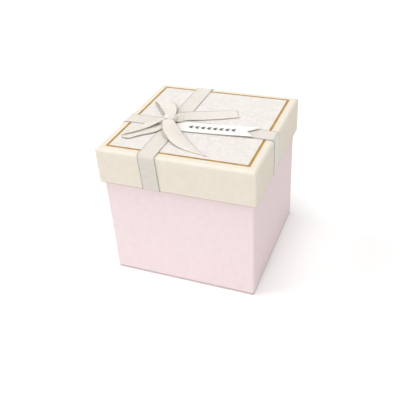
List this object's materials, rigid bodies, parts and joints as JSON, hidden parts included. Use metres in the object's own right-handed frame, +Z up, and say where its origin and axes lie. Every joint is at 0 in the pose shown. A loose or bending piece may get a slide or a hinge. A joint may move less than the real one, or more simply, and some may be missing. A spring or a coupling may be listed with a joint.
{
  "type": "gift box",
  "caption": "Square rigid paper gift box with a lift-off telescoping lid, crossed flat ribbons, a tied ribbon bow and a swallow-tail paper tag on top.",
  "frame": {"origin": "middle of the underside of the base, on the surface the box stands on", "axes": "+Z up; +X to the right along the front face; +Y to the back"},
  "size_m": [0.1308, 0.1308, 0.1277],
  "materials": {
    "greyboard": "raw matte greyboard",
    "stay_tape": "matte brown gummed tape",
    "pink_paper": "matte pale pink covering paper",
    "cream_paper": "matte cream covering paper",
    "white_lining": "matte white lining paper",
    "panel_paper": "matte pale paper with a faint pattern",
    "gold_foil": "satin gold foil line",
    "flat_ribbon": "ivory ribbon with darker edges",
    "bow_ribbon": "ivory satin ribbon",
    "hot_glue": "dull set glue",
    "tag_card": "smooth white card"
  },
  "bodies": {
    "base": {"base_board": "greyboard", "base_corner_stays": "stay_tape", "base_wrap": "pink_paper", "base_bottom_sheet": "white_lining", "base_wall_liner": "white_lining", "base_floor_liner": "white_lining"},
    "lid": {"lid_board": "greyboard", "lid_corner_stays": "stay_tape", "lid_wrap": "cream_paper", "lid_top_liner": "white_lining", "lid_panel_sheet": "panel_paper", "lid_foil_border": "gold_foil", "ribbon_front_back": "flat_ribbon", "ribbon_left_right": "flat_ribbon", "bow_glue_pad": "hot_glue", "bow_knot": "bow_ribbon", "bow_loop_left": "bow_ribbon", "bow_loop_back": "bow_ribbon", "bow_tail_right": "bow_ribbon", "bow_tail_front": "bow_ribbon", "gift_tag": "tag_card"}
  },
  "joints": [
    {"name": "lid_lift", "type": "slide", "parent": "base", "child": "lid", "axis": [0, 0, 1], "range_m": [0, 0.06]}
  ]
}
